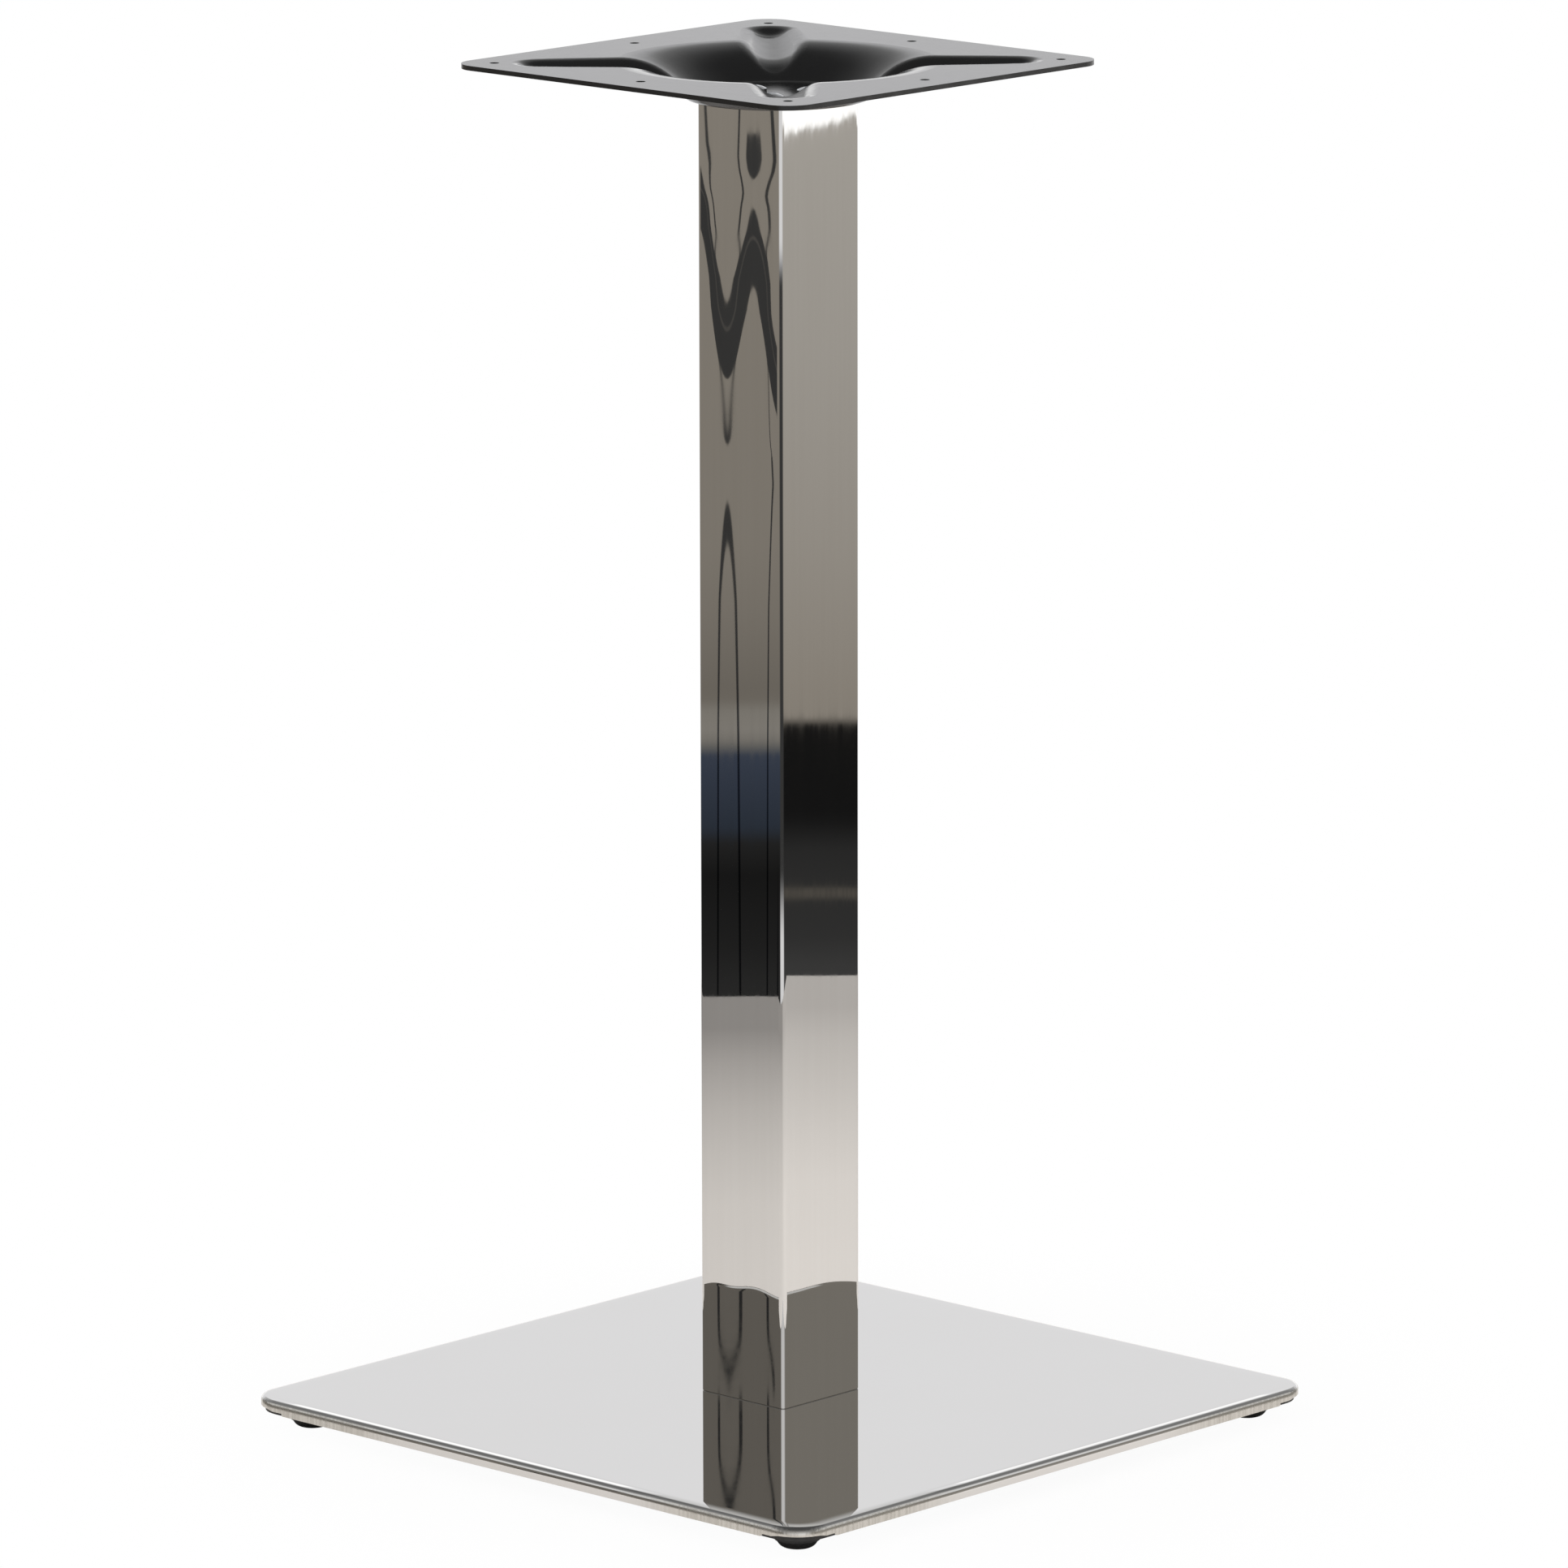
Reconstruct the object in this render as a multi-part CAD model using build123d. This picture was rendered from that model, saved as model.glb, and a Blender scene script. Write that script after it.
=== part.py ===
from build123d import *
from math import radians, tan
import os

# Driving dimensions, in millimetres and degrees
TOTAL_HEIGHT = 725.0

# Pressed steel cover of the base
BASE_SIDE = 400.0
BASE_CORNER_RADIUS = 20.0
COVER_SHEET = 1.0
COVER_FOLD_RADIUS = 2.0
RIM_DEPTH = 7.0
CORNER_RIM_DEPTH = 4.8
CORNER_RIM_REACH = 27.0
RIM_STEP_RADIUS = 0.8

# Ballast plate inside the cover
BALLAST_THICKNESS = 6.5
BALLAST_CLEARANCE = 1.2

# Square column and the tapped plates welded into its ends
COLUMN_SIDE = 60.0
COLUMN_WALL = 1.5
COLUMN_CORNER_RADIUS = 3.0
COLUMN_END_CHAMFER = 0.4
END_PLATE_THICKNESS = 6.0
END_PLATE_CORNER_RADIUS = 4.0
END_PLATE_CLEARANCE = 0.1

# Pressed top spider: a dish with four channels that run out to the corners
SPIDER_SIDE = 240.0
SPIDER_CORNER_RADIUS = 15.0
SPIDER_SHEET = 2.5
DISH_DEPTH = 17.0
DISH_FLOOR_RADIUS = 46.0
DISH_WALL_ANGLE = 40.0
DISH_FLOOR_BLEND = 5.0
DISH_RIM_BLEND = 50.0
CHANNEL_RADIUS = 16.0
CHANNEL_END_RADIUS = 122.5
CHANNEL_END_DEPTH = 4.4
CHANNEL_SLOPE = 4.6
CHANNEL_MOUTH_RISE = 1.6
CHANNEL_MOUTH_SLOPE = 20.0
CHANNEL_MOUTH_BLEND = 50.0
CHANNEL_EDGE_BLEND = 12.0
TOP_HOLE_DIAMETER = 5.0
CORNER_HOLE_OFFSET = 103.5
SIDE_HOLE_OFFSET = 102.5

# Pan-head screws at both ends of the column
SCREW_DIAMETER = 6.0
SCREW_HEAD_DIAMETER = 14.0
SCREW_HEAD_HEIGHT = 3.2
SCREW_HEAD_EDGE = 1.4
SCREW_CIRCLE_RADIUS = 17.5
SCREW_COUNT = 3
SCREW_TIP_REACH = 2.5
SCREW_HOLE_CLEARANCE = 0.3
TAPPED_HOLE_CLEARANCE = 0.05
RECESS_SPAN = 6.4
RECESS_WIDTH = 1.6
RECESS_DEPTH = 1.8
RECESS_TAPER = 8.0

# Levelling feet
FOOT_INSET = 25.0
FOOT_HEIGHT = 9.5
FOOT_GRIP_DIAMETER = 24.0
FOOT_GRIP_HEIGHT = 5.4
FOOT_GRIP_CHAMFER = 0.5
FOOT_GLIDE_DIAMETER = 21.4
FOOT_FLAT_DIAMETER = 11.4
FOOT_SOLE_RADIUS = 5.5
STUD_DIAMETER = 8.0
STUD_REACH = 6.0
STUD_SOCKET_DEPTH = 5.0
STUD_CHAMFER = 0.8
STUD_CLEARANCE = 0.05

# Heights that follow from the stack: feet, ballast, cover, column, spider
ballast_bottom = FOOT_HEIGHT
cover_inside = ballast_bottom + BALLAST_THICKNESS
cover_top = cover_inside + COVER_SHEET
rim_bottom = cover_top - RIM_DEPTH
dish_floor = TOTAL_HEIGHT - DISH_DEPTH
column_top = dish_floor - SPIDER_SHEET

CENTRE_UP = (Align.CENTER, Align.CENTER, Align.MIN)
CENTRE_DOWN = (Align.CENTER, Align.CENTER, Align.MAX)


def slab(side, radius, bottom, thickness):
    """Square slab with rounded corners, standing on the height given by bottom."""
    return extrude(Plane.XY.offset(bottom) * RectangleRounded(side, side, radius), thickness)


def top_edges(solid):
    return solid.faces().sort_by(Axis.Z)[-1].edges()


def upright_holes(diameter, places, bottom, height):
    """Round cutters standing at the given places."""
    return [Pos(0, 0, bottom) * place * Cylinder(diameter / 2, height, align=CENTRE_UP) for place in places]


def screw_places():
    return PolarLocations(SCREW_CIRCLE_RADIUS, SCREW_COUNT, 180.0 / SCREW_COUNT).locations


def foot_places():
    spacing = BASE_SIDE - 2 * FOOT_INSET
    return GridLocations(spacing, spacing, 2, 2).locations


def base_cover():
    """Flat tray of thin sheet with a folded rim that is shallower round each corner."""
    outside = slab(BASE_SIDE, BASE_CORNER_RADIUS, rim_bottom, RIM_DEPTH)
    outside = fillet(top_edges(outside), COVER_FOLD_RADIUS)
    inner_side = BASE_SIDE - 2 * COVER_SHEET
    inside = slab(inner_side, BASE_CORNER_RADIUS - COVER_SHEET, rim_bottom, RIM_DEPTH - COVER_SHEET)
    inside = fillet(top_edges(inside), COVER_FOLD_RADIUS - COVER_SHEET)
    tray = outside - inside

    step = RIM_DEPTH - CORNER_RIM_DEPTH
    spacing = BASE_SIDE - CORNER_RIM_REACH
    for place in GridLocations(spacing, spacing, 2, 2):
        notch = Box(CORNER_RIM_REACH, CORNER_RIM_REACH, step, align=CENTRE_UP)
        notch = fillet(top_edges(notch), RIM_STEP_RADIUS)
        tray -= Pos(0, 0, rim_bottom) * place * notch
    tray = fillet(rim_end_edges(tray), RIM_STEP_RADIUS)

    hole = SCREW_DIAMETER + 2 * SCREW_HOLE_CLEARANCE
    return tray - upright_holes(hole, screw_places(), cover_inside, COVER_SHEET)


def rim_end_edges(tray):
    """Short edges across the sheet, at the lowest corners of the deep rim."""
    lowest = tray.faces().sort_by(Axis.Z).filter_by(Plane.XY).group_by(Axis.Z)[0]
    return [face.edges().sort_by(SortBy.LENGTH)[index] for face in lowest for index in (0, 1)]


def ballast_plate():
    """Heavy plate that fills the cover, drilled for the column screws and tapped for the feet."""
    setback = COVER_SHEET + BALLAST_CLEARANCE
    side = BASE_SIDE - 2 * setback
    plate = slab(side, BASE_CORNER_RADIUS - setback, ballast_bottom, BALLAST_THICKNESS)
    screw_hole = SCREW_DIAMETER + 2 * SCREW_HOLE_CLEARANCE
    stud_hole = STUD_DIAMETER + 2 * STUD_CLEARANCE
    plate -= upright_holes(screw_hole, screw_places(), ballast_bottom, BALLAST_THICKNESS)
    return plate - upright_holes(stud_hole, foot_places(), ballast_bottom, BALLAST_THICKNESS)


def column_tube():
    length = column_top - cover_top
    bore_side = COLUMN_SIDE - 2 * COLUMN_WALL
    tube = slab(COLUMN_SIDE, COLUMN_CORNER_RADIUS, cover_top, length)
    tube = chamfer(tube.faces().filter_by(Plane.XY).edges(), COLUMN_END_CHAMFER)
    return tube - slab(bore_side, COLUMN_CORNER_RADIUS - COLUMN_WALL, cover_top, length)


def end_plate(bottom):
    """Plate welded into one end of the column, with a tapped hole for each screw."""
    side = COLUMN_SIDE - 2 * (COLUMN_WALL + END_PLATE_CLEARANCE)
    plate = slab(side, END_PLATE_CORNER_RADIUS, bottom, END_PLATE_THICKNESS)
    hole = SCREW_DIAMETER + 2 * TAPPED_HOLE_CLEARANCE
    return plate - upright_holes(hole, screw_places(), bottom, END_PLATE_THICKNESS)


def pan_screw(grip):
    """Cross-recessed screw, head up, its bearing face at zero height."""
    head_radius = SCREW_HEAD_DIAMETER / 2
    shank_radius = SCREW_DIAMETER / 2
    tip = -(grip + END_PLATE_THICKNESS + SCREW_TIP_REACH)
    dome_rise = SCREW_HEAD_HEIGHT - SCREW_HEAD_EDGE
    dome_radius = (head_radius**2 + dome_rise**2) / (2 * dome_rise)
    dome = RadiusArc((head_radius, SCREW_HEAD_EDGE), (0, SCREW_HEAD_HEIGHT), -dome_radius)
    rest = Polyline(
        (0, SCREW_HEAD_HEIGHT), (0, tip), (shank_radius, tip), (shank_radius, 0),
        (head_radius, 0), (head_radius, SCREW_HEAD_EDGE),
    )
    screw = revolve(Plane.XZ * make_face([dome, rest]), Axis.Z)
    cross = Rectangle(RECESS_SPAN, RECESS_WIDTH) + Rectangle(RECESS_WIDTH, RECESS_SPAN)
    recess = extrude(Plane.XY.offset(SCREW_HEAD_HEIGHT) * cross, -RECESS_DEPTH, taper=RECESS_TAPER)
    return screw - recess


def spider_screws():
    """Screws from the floor of the dish down into the plate at the top of the column."""
    screw = pan_screw(SPIDER_SHEET)
    return [Pos(0, 0, dish_floor) * place * screw for place in screw_places()]


def base_screws():
    """Screws from under the ballast up into the plate at the foot of the column."""
    screw = Rot(180, 0, 0) * pan_screw(BALLAST_THICKNESS + COVER_SHEET)
    return [Pos(0, 0, ballast_bottom) * place * screw for place in screw_places()]


def channel_path():
    """Centre line of one channel's round floor: a gentle run, then a steeper one down the dish's wall."""
    start = Vector(CHANNEL_END_RADIUS, TOTAL_HEIGHT - CHANNEL_END_DEPTH + CHANNEL_RADIUS)
    foot = Vector(0, CHANNEL_RADIUS).rotate(Axis.Z, CHANNEL_MOUTH_SLOPE)
    foot += Vector(DISH_FLOOR_RADIUS, dish_floor + CHANNEL_MOUTH_RISE)
    lower_run = PolarLine(foot, CHANNEL_END_RADIUS, CHANNEL_MOUTH_SLOPE)
    upper_run = IntersectingLine(start, Vector(-1, 0).rotate(Axis.Z, CHANNEL_SLOPE), lower_run)
    bend = upper_run @ 1
    return Plane.XZ * FilletPolyline(start, bend, foot, radius=CHANNEL_MOUTH_BLEND + CHANNEL_RADIUS)


def pressed_channel(angle, growth):
    """Round-bottomed trough along one diagonal, ending in a ball, grown by the given amount."""
    path = channel_path()
    radius = CHANNEL_RADIUS + growth
    start = Plane(path @ 0, x_dir=(0, 1, 0), z_dir=path % 0)
    trough = sweep(start * Circle(radius), path=path) + Pos(path @ 0) * Sphere(radius)
    return Rot(0, 0, angle) * trough


def press_form(growth):
    """Everything below one face of the pressed sheet: growth 0 gives the upper face."""
    half_angle = radians(DISH_WALL_ANGLE) / 2
    shift = growth * tan(half_angle)
    wall_run = DISH_DEPTH / tan(2 * half_angle)
    top = TOTAL_HEIGHT - growth
    bottom = dish_floor - 2 * SPIDER_SHEET - growth
    reach = SPIDER_SIDE + growth
    face_line = FilletPolyline(
        (0, top - DISH_DEPTH),
        (DISH_FLOOR_RADIUS + shift, top - DISH_DEPTH),
        (DISH_FLOOR_RADIUS + shift + wall_run, top),
        (reach, top),
        radius=[DISH_FLOOR_BLEND + growth, DISH_RIM_BLEND - growth],
    )
    below = Polyline((reach, top), (reach, bottom), (0, bottom), (0, top - DISH_DEPTH))
    dish = revolve(Plane.XZ * make_face([face_line, below]), Axis.Z)
    channels = [pressed_channel(45 + 90 * quarter, growth) for quarter in range(4)]
    form = dish - channels
    return fillet(new_edges(dish, *channels, combined=form), CHANNEL_EDGE_BLEND - growth)


def top_spider():
    """Square plate pressed from one sheet, with screw holes for the table top."""
    sheet = press_form(0) - press_form(SPIDER_SHEET)
    depth = DISH_DEPTH + 2 * SPIDER_SHEET
    sheet &= slab(SPIDER_SIDE, SPIDER_CORNER_RADIUS, TOTAL_HEIGHT - depth, depth)
    corner = GridLocations(2 * CORNER_HOLE_OFFSET, 2 * CORNER_HOLE_OFFSET, 2, 2).locations
    side = PolarLocations(SIDE_HOLE_OFFSET, 4).locations
    sheet -= upright_holes(TOP_HOLE_DIAMETER, corner + side, TOTAL_HEIGHT - depth, depth)
    hole = SCREW_DIAMETER + 2 * SCREW_HOLE_CLEARANCE
    return sheet - upright_holes(hole, screw_places(), column_top, SPIDER_SHEET)


def foot_pad():
    """Plastic glide: a rounded sole under a wider grip ring, with a socket for its stud."""
    flat_radius = FOOT_FLAT_DIAMETER / 2
    glide_radius = FOOT_GLIDE_DIAMETER / 2
    grip_radius = FOOT_GRIP_DIAMETER / 2
    grip_bottom = FOOT_HEIGHT - FOOT_GRIP_HEIGHT
    sole = RadiusArc((flat_radius, 0), (glide_radius, grip_bottom), -FOOT_SOLE_RADIUS)
    rest = Polyline(
        (glide_radius, grip_bottom), (grip_radius, grip_bottom), (grip_radius, FOOT_HEIGHT),
        (0, FOOT_HEIGHT), (0, 0), (flat_radius, 0),
    )
    pad = revolve(Plane.XZ * make_face([sole, rest]), Axis.Z)
    rings = [edge for edge in pad.edges().filter_by(GeomType.CIRCLE) if abs(edge.radius - grip_radius) < 0.01]
    pad = chamfer(rings, FOOT_GRIP_CHAMFER)
    socket = Cylinder(STUD_DIAMETER / 2 + STUD_CLEARANCE, STUD_SOCKET_DEPTH, align=CENTRE_DOWN)
    return pad - Pos(0, 0, FOOT_HEIGHT) * socket


def foot_stud():
    """Steel stud moulded into the pad, which screws up into the ballast plate."""
    bottom = FOOT_HEIGHT - STUD_SOCKET_DEPTH
    stud = Cylinder(STUD_DIAMETER / 2, STUD_SOCKET_DEPTH + STUD_REACH, align=CENTRE_UP)
    return Pos(0, 0, bottom) * chamfer(top_edges(stud), STUD_CHAMFER)


def save(name, solid):
    shape = Compound(children=solid) if isinstance(solid, list) else solid
    export_step(shape, f"parts/{name}.step")


os.makedirs("parts", exist_ok=True)
save("base_cover", base_cover())
save("ballast_plate", ballast_plate())
save("base_screws", base_screws())
save("column_tube", column_tube())
save("column_bottom_plate", end_plate(cover_top))
save("column_top_plate", end_plate(column_top - END_PLATE_THICKNESS))
save("top_spider", top_spider())
save("spider_screws", spider_screws())
for place in foot_places():
    front_back = "front" if place.position.Y < 0 else "back"
    left_right = "left" if place.position.X < 0 else "right"
    save(f"foot_pad_{front_back}_{left_right}", place * foot_pad())
    save(f"foot_stud_{front_back}_{left_right}", place * foot_stud())
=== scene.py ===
# %% [markdown]
# # A square table base in polished steel
# The object is a stand for a cafe table: a flat square tray on four feet, one square column, and a
# pressed black spider that the table top is screwed to. A CAD program has already made every solid at
# its true size. This lesson loads those solids, gives each one the finish of the real thing, cuts the
# screw threads that the solids leave plain, and sets up a studio with a camera.
# Everything is in metres and stands where the CAD put it, so no piece is moved.

import math

import bmesh
import bpy
from mathutils import Euler, Matrix, Vector


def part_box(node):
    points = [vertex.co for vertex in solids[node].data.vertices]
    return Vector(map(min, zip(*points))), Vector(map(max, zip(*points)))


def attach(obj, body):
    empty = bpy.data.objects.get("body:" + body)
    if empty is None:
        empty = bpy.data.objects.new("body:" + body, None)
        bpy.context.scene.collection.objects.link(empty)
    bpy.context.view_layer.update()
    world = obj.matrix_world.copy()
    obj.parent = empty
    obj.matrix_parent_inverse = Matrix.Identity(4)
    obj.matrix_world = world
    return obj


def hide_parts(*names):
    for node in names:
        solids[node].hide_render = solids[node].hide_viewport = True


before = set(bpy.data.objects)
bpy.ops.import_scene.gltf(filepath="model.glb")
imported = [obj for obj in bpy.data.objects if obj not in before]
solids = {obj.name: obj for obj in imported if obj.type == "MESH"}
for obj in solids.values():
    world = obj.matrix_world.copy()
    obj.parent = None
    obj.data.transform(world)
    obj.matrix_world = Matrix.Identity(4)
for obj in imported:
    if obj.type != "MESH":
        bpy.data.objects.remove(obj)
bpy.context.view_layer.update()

# %% [markdown]
# ## The camera
# The picture to match was taken from far away with a long lens, a little above the top plate and
# nearly in line with one corner of the base. A camera could be set by eye, but with a mirror finish
# every reflection depends on its exact place, so its distance and angles were worked out from the
# corners and holes of the object. The angles turn a camera that starts level, looking along +Y.

# %% Camera
IMAGE_PIXELS = 1932
FOCAL_PIXELS = 13488
SENSOR_MM = 36.0
AIM_HEIGHT = 0.360
CAMERA_DISTANCE = 5.7247
CAMERA_AZIMUTH = math.radians(43.044)
CAMERA_RISE = math.radians(11.495)
LOOK_DOWN = math.radians(11.652)
LOOK_ASIDE = math.radians(-0.025)
CAMERA_ROLL = math.radians(-0.103)


def on_the_compass(azimuth, rise=0.0):
    """The unit direction from the object to a viewer at this azimuth and rise."""
    return Vector((math.sin(azimuth) * math.cos(rise), -math.cos(azimuth) * math.cos(rise), math.sin(rise)))


lens = bpy.data.cameras.new("camera")
lens.sensor_width = SENSOR_MM
lens.lens = SENSOR_MM * FOCAL_PIXELS / IMAGE_PIXELS
camera = bpy.data.objects.new("camera", lens)
bpy.context.scene.collection.objects.link(camera)
turn = Euler((math.pi / 2 - LOOK_DOWN, 0, CAMERA_AZIMUTH + LOOK_ASIDE)).to_matrix()
camera.rotation_euler = (turn @ Matrix.Rotation(CAMERA_ROLL, 3, "Z")).to_euler()
camera.location = CAMERA_DISTANCE * on_the_compass(CAMERA_AZIMUTH, CAMERA_RISE) + Vector((0, 0, AIM_HEIGHT))
bpy.context.scene.camera = camera
print("lens", round(lens.lens, 1), "mm, camera at", [round(c, 3) for c in camera.location])

# %% [markdown]
# ## Helpers for node trees
# Every finish below is a tree of nodes. Adding nodes by hand takes three lines each, so the first
# helper adds a node and fills each of its sockets with a value or a link. The others use it to add one
# sum, to split a vector or to measure it along a direction, and give back the answer.

# %% Node helpers
def add(tree, kind, sockets=None, **settings):
    """One new node. A socket is named or numbered, and takes a plain value or another node's output."""
    made = tree.nodes.new(kind)
    for name, value in settings.items():
        setattr(made, name, value)
    for name, value in (sockets or {}).items():
        if isinstance(value, bpy.types.NodeSocket):
            tree.links.new(value, made.inputs[name])
        else:
            made.inputs[name].default_value = value
    return made


def calc(tree, operation, *terms):
    """The output of one Math node."""
    return add(tree, "ShaderNodeMath", dict(enumerate(terms)), operation=operation).outputs[0]


def split(tree, vector):
    """The X, Y and Z of a vector."""
    return add(tree, "ShaderNodeSeparateXYZ", {0: vector}).outputs


def along(tree, vector, direction):
    """How far a vector points along a fixed direction."""
    made = add(tree, "ShaderNodeVectorMath", {0: vector, 1: tuple(direction)}, operation="DOT_PRODUCT")
    return made.outputs["Value"]


print("node helpers ready")

# %% [markdown]
# Most changes below are smooth steps. A Map Range node makes one, and two of them multiplied make a
# stretch that fades at both ends. A ramp could do the same, but its stops lie between 0 and 1, and
# these take metres, sines or leans as they are.

# %% Step helpers
def ease(tree, value, start, end, low=0.0, high=1.0):
    """A smooth step from low at start to high at end."""
    sockets = {"Value": value, "From Min": start, "From Max": end, "To Min": low, "To Max": high}
    return add(tree, "ShaderNodeMapRange", sockets, interpolation_type="SMOOTHSTEP").outputs["Result"]


def between(tree, value, start, full, last, end):
    """1 from full to last, eased to 0 at the start before them and at the end after them."""
    return calc(tree, "MULTIPLY", ease(tree, value, start, full), ease(tree, value, end, last))


print("step helpers ready")

# %% [markdown]
# Colours need two more helpers. A Mix node has a socket called A for each kind of data it can mix, so the
# sockets for colours are picked by number.

# %% Colour helpers
FIRST_COLOUR, SECOND_COLOUR, MIXED_COLOUR = 6, 7, 2


def ramp(tree, factor, stops):
    """A colour ramp through (place, colour) stops."""
    made = add(tree, "ShaderNodeValToRGB", {"Fac": factor})
    band = made.color_ramp.elements
    while len(band) < len(stops):
        band.new(1.0)
    for element, (place, colour) in zip(band, stops):
        element.position = place
        element.color = (*colour, 1.0)
    return made.outputs["Color"]


def blend_colours(tree, factor, first, second, blend_type="MIX"):
    """One Mix node for colours."""
    sockets = {0: factor, FIRST_COLOUR: first, SECOND_COLOUR: second}
    return add(tree, "ShaderNodeMix", sockets, data_type="RGBA", blend_type=blend_type).outputs[MIXED_COLOUR]


print("colour helpers ready")

# %% [markdown]
# ## What the polished steel sees
# A mirror has no look of its own: it shows the room. Cards could be stood round the object for it to
# mirror, but they would block a camera that walks round it, so the room is painted on the world by
# direction. Two numbers place a spot of it: its height above the horizon, as a sine, and how far it
# lies to the right in the picture.

# %% Directions
world = bpy.data.worlds.new("studio")
bpy.context.scene.world = world
world.use_nodes = True
sky = world.node_tree
sky.nodes.clear()
direction = add(sky, "ShaderNodeTexCoord").outputs["Generated"]
height = split(sky, direction)["Z"]
image_right = Vector((math.cos(CAMERA_AZIMUTH), math.sin(CAMERA_AZIMUTH), 0))
sideways = along(sky, direction, image_right)
aside = calc(sky, "ABSOLUTE", sideways)
print("right in the picture is", [round(c, 3) for c in image_right])

# %% [markdown]
# The room is lit softly, so most of it is a slow change of tone from the floor to the ceiling. Its
# heights are given in degrees above the horizon, and its tones as greys, plain or warm.

# %% Tones
def sine(degrees):
    """The height above the horizon as the world's directions give it."""
    return math.sin(math.radians(degrees))


def grey(tone):
    """A plain grey."""
    return (tone, tone, tone)


def warm(tone, green=0.91, blue=0.79):
    """A grey with less green and blue than red."""
    return (tone, green * tone, blue * tone)


print("a plain grey", grey(0.5), "and a warm one", warm(0.5))

# %% [markdown]
# Each change of tone is a colour ramp over heights. Blender stores a ramp as a short table of colours,
# so fine steps blur in a long one. A wall is therefore made of bands, and one with fine steps has its
# own ramp.

# %% Ramps by height
def by_height(tree, height, stops):
    """A colour by the height above the horizon, through (degrees, colour) stops."""
    places = [sine(degrees) for degrees, colour in stops]
    span = add(tree, "ShaderNodeMapRange", {"Value": height, "From Min": places[0], "From Max": places[-1]})
    shares = [(place - places[0]) / (places[-1] - places[0]) for place in places]
    return ramp(tree, span.outputs["Result"], [(share, stop[1]) for share, stop in zip(shares, stops)])


def between_heights(tree, height, *degrees):
    """The same as between, for four heights above the horizon in degrees."""
    return between(tree, height, *(sine(step) for step in degrees))


def side_wall(tree, height, bands):
    """A wall in bands, from the floor up."""
    lowest, *others = bands
    colour = by_height(tree, height, lowest)
    for band in others:
        above = calc(tree, "GREATER_THAN", height, sine(band[0][0]))
        colour = blend_colours(tree, above, colour, by_height(tree, height, band))
    return colour


print("ramp helpers ready")

# %% [markdown]
# To the left and the right stand warm grey walls, which give the column its grey. From the floor up,
# each has a plain foot, a dark band with some fine lines in it, a stretch that gets paler, and a long
# one that dims again. The stops were chosen to match the tones that the column shows in the
# picture.

# %% Left wall
LEFT_HIGH = (0.190, 0.176, 0.157)
UPPER_GAP = grey(0.26)
LEFT_WALL = {
    "foot": [(-40, warm(0.27)), (-14.2, warm(0.27)), (-13.4, grey(0.028))],
    "dark band": [
        (-13.4, grey(0.028)), (-12.7, grey(0.028)), (-12.5, grey(0.019)), (-12.13, grey(0.012)),
        (-11.96, grey(0.022)), (-11.88, (0.031, 0.040, 0.057)), (-11.50, (0.050, 0.063, 0.094)),
        (-11.46, (0.150, 0.150, 0.145)), (-11.42, warm(0.244, 0.94, 0.85)), (-11.37, warm(0.287, 0.94, 0.85)),
        (-11.27, warm(0.270, 0.94, 0.84)), (-11.21, warm(0.204)), (-11.15, warm(0.199))],
    "paler stretch": [
        (-11.15, warm(0.199)), (-10.95, warm(0.225)), (-10.75, warm(0.250)), (-10.4, warm(0.277)),
        (-9.5, warm(0.288)), (-8.0, warm(0.310))],
    "top": [(-8.0, warm(0.310)), (8, LEFT_HIGH), (16, LEFT_HIGH), (20, UPPER_GAP), (70, UPPER_GAP)],
}

left_wall = side_wall(sky, height, LEFT_WALL.values())
print("left wall:", list(LEFT_WALL))

# %% [markdown]
# The right wall is paler, and has a bright strip as well. The two walls meet behind the backdrop, so
# no mirror shows their seam.

# %% Right wall
RIGHT_HIGH = (0.294, 0.276, 0.248)
WALL_SEAM = 0.05
RIGHT_WALL = {
    "foot": [(-40, warm(0.38)), (-14.2, warm(0.38)), (-13.4, grey(0.055))],
    "dark band": [
        (-13.4, grey(0.055)), (-12.6, grey(0.055)), (-12.45, grey(0.040)), (-12.26, grey(0.036)),
        (-12.24, warm(0.10)), (-12.205, warm(0.10)), (-12.185, grey(0.035)), (-12.0, grey(0.030)),
        (-11.86, grey(0.013)), (-11.80, grey(0.010)), (-11.345, grey(0.010)), (-11.30, warm(0.335)),
        (-11.15, warm(0.343))],
    "paler stretch and bright strip": [
        (-11.15, warm(0.343)), (-10.4, warm(0.403, 0.93, 0.83)), (-9.4, warm(0.458, 0.945, 0.86)),
        (-8.22, warm(0.500, 0.95, 0.87)), (-8.20, grey(1.6)), (-7.3, grey(1.6)),
        (-7.1, warm(0.50, 0.95, 0.87))],
    "top": [
        (-7.1, warm(0.50, 0.95, 0.87)), (8, RIGHT_HIGH), (16, RIGHT_HIGH), (20, UPPER_GAP), (70, UPPER_GAP)],
}

right_wall = side_wall(sky, height, RIGHT_WALL.values())
wall = blend_colours(sky, ease(sky, sideways, -WALL_SEAM, WALL_SEAM), left_wall, right_wall)
print("right wall:", list(RIGHT_WALL))

# %% [markdown]
# Behind the object and in front of it hangs a white backdrop, which the tray and the spider mirror at
# a low angle. It glows a little round the horizon, which draws the light line on the folds of the
# tray, and dims with height to a dark ceiling, so that the dish of the spider stays black. Low in
# front, under the camera, it is dark.

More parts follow.
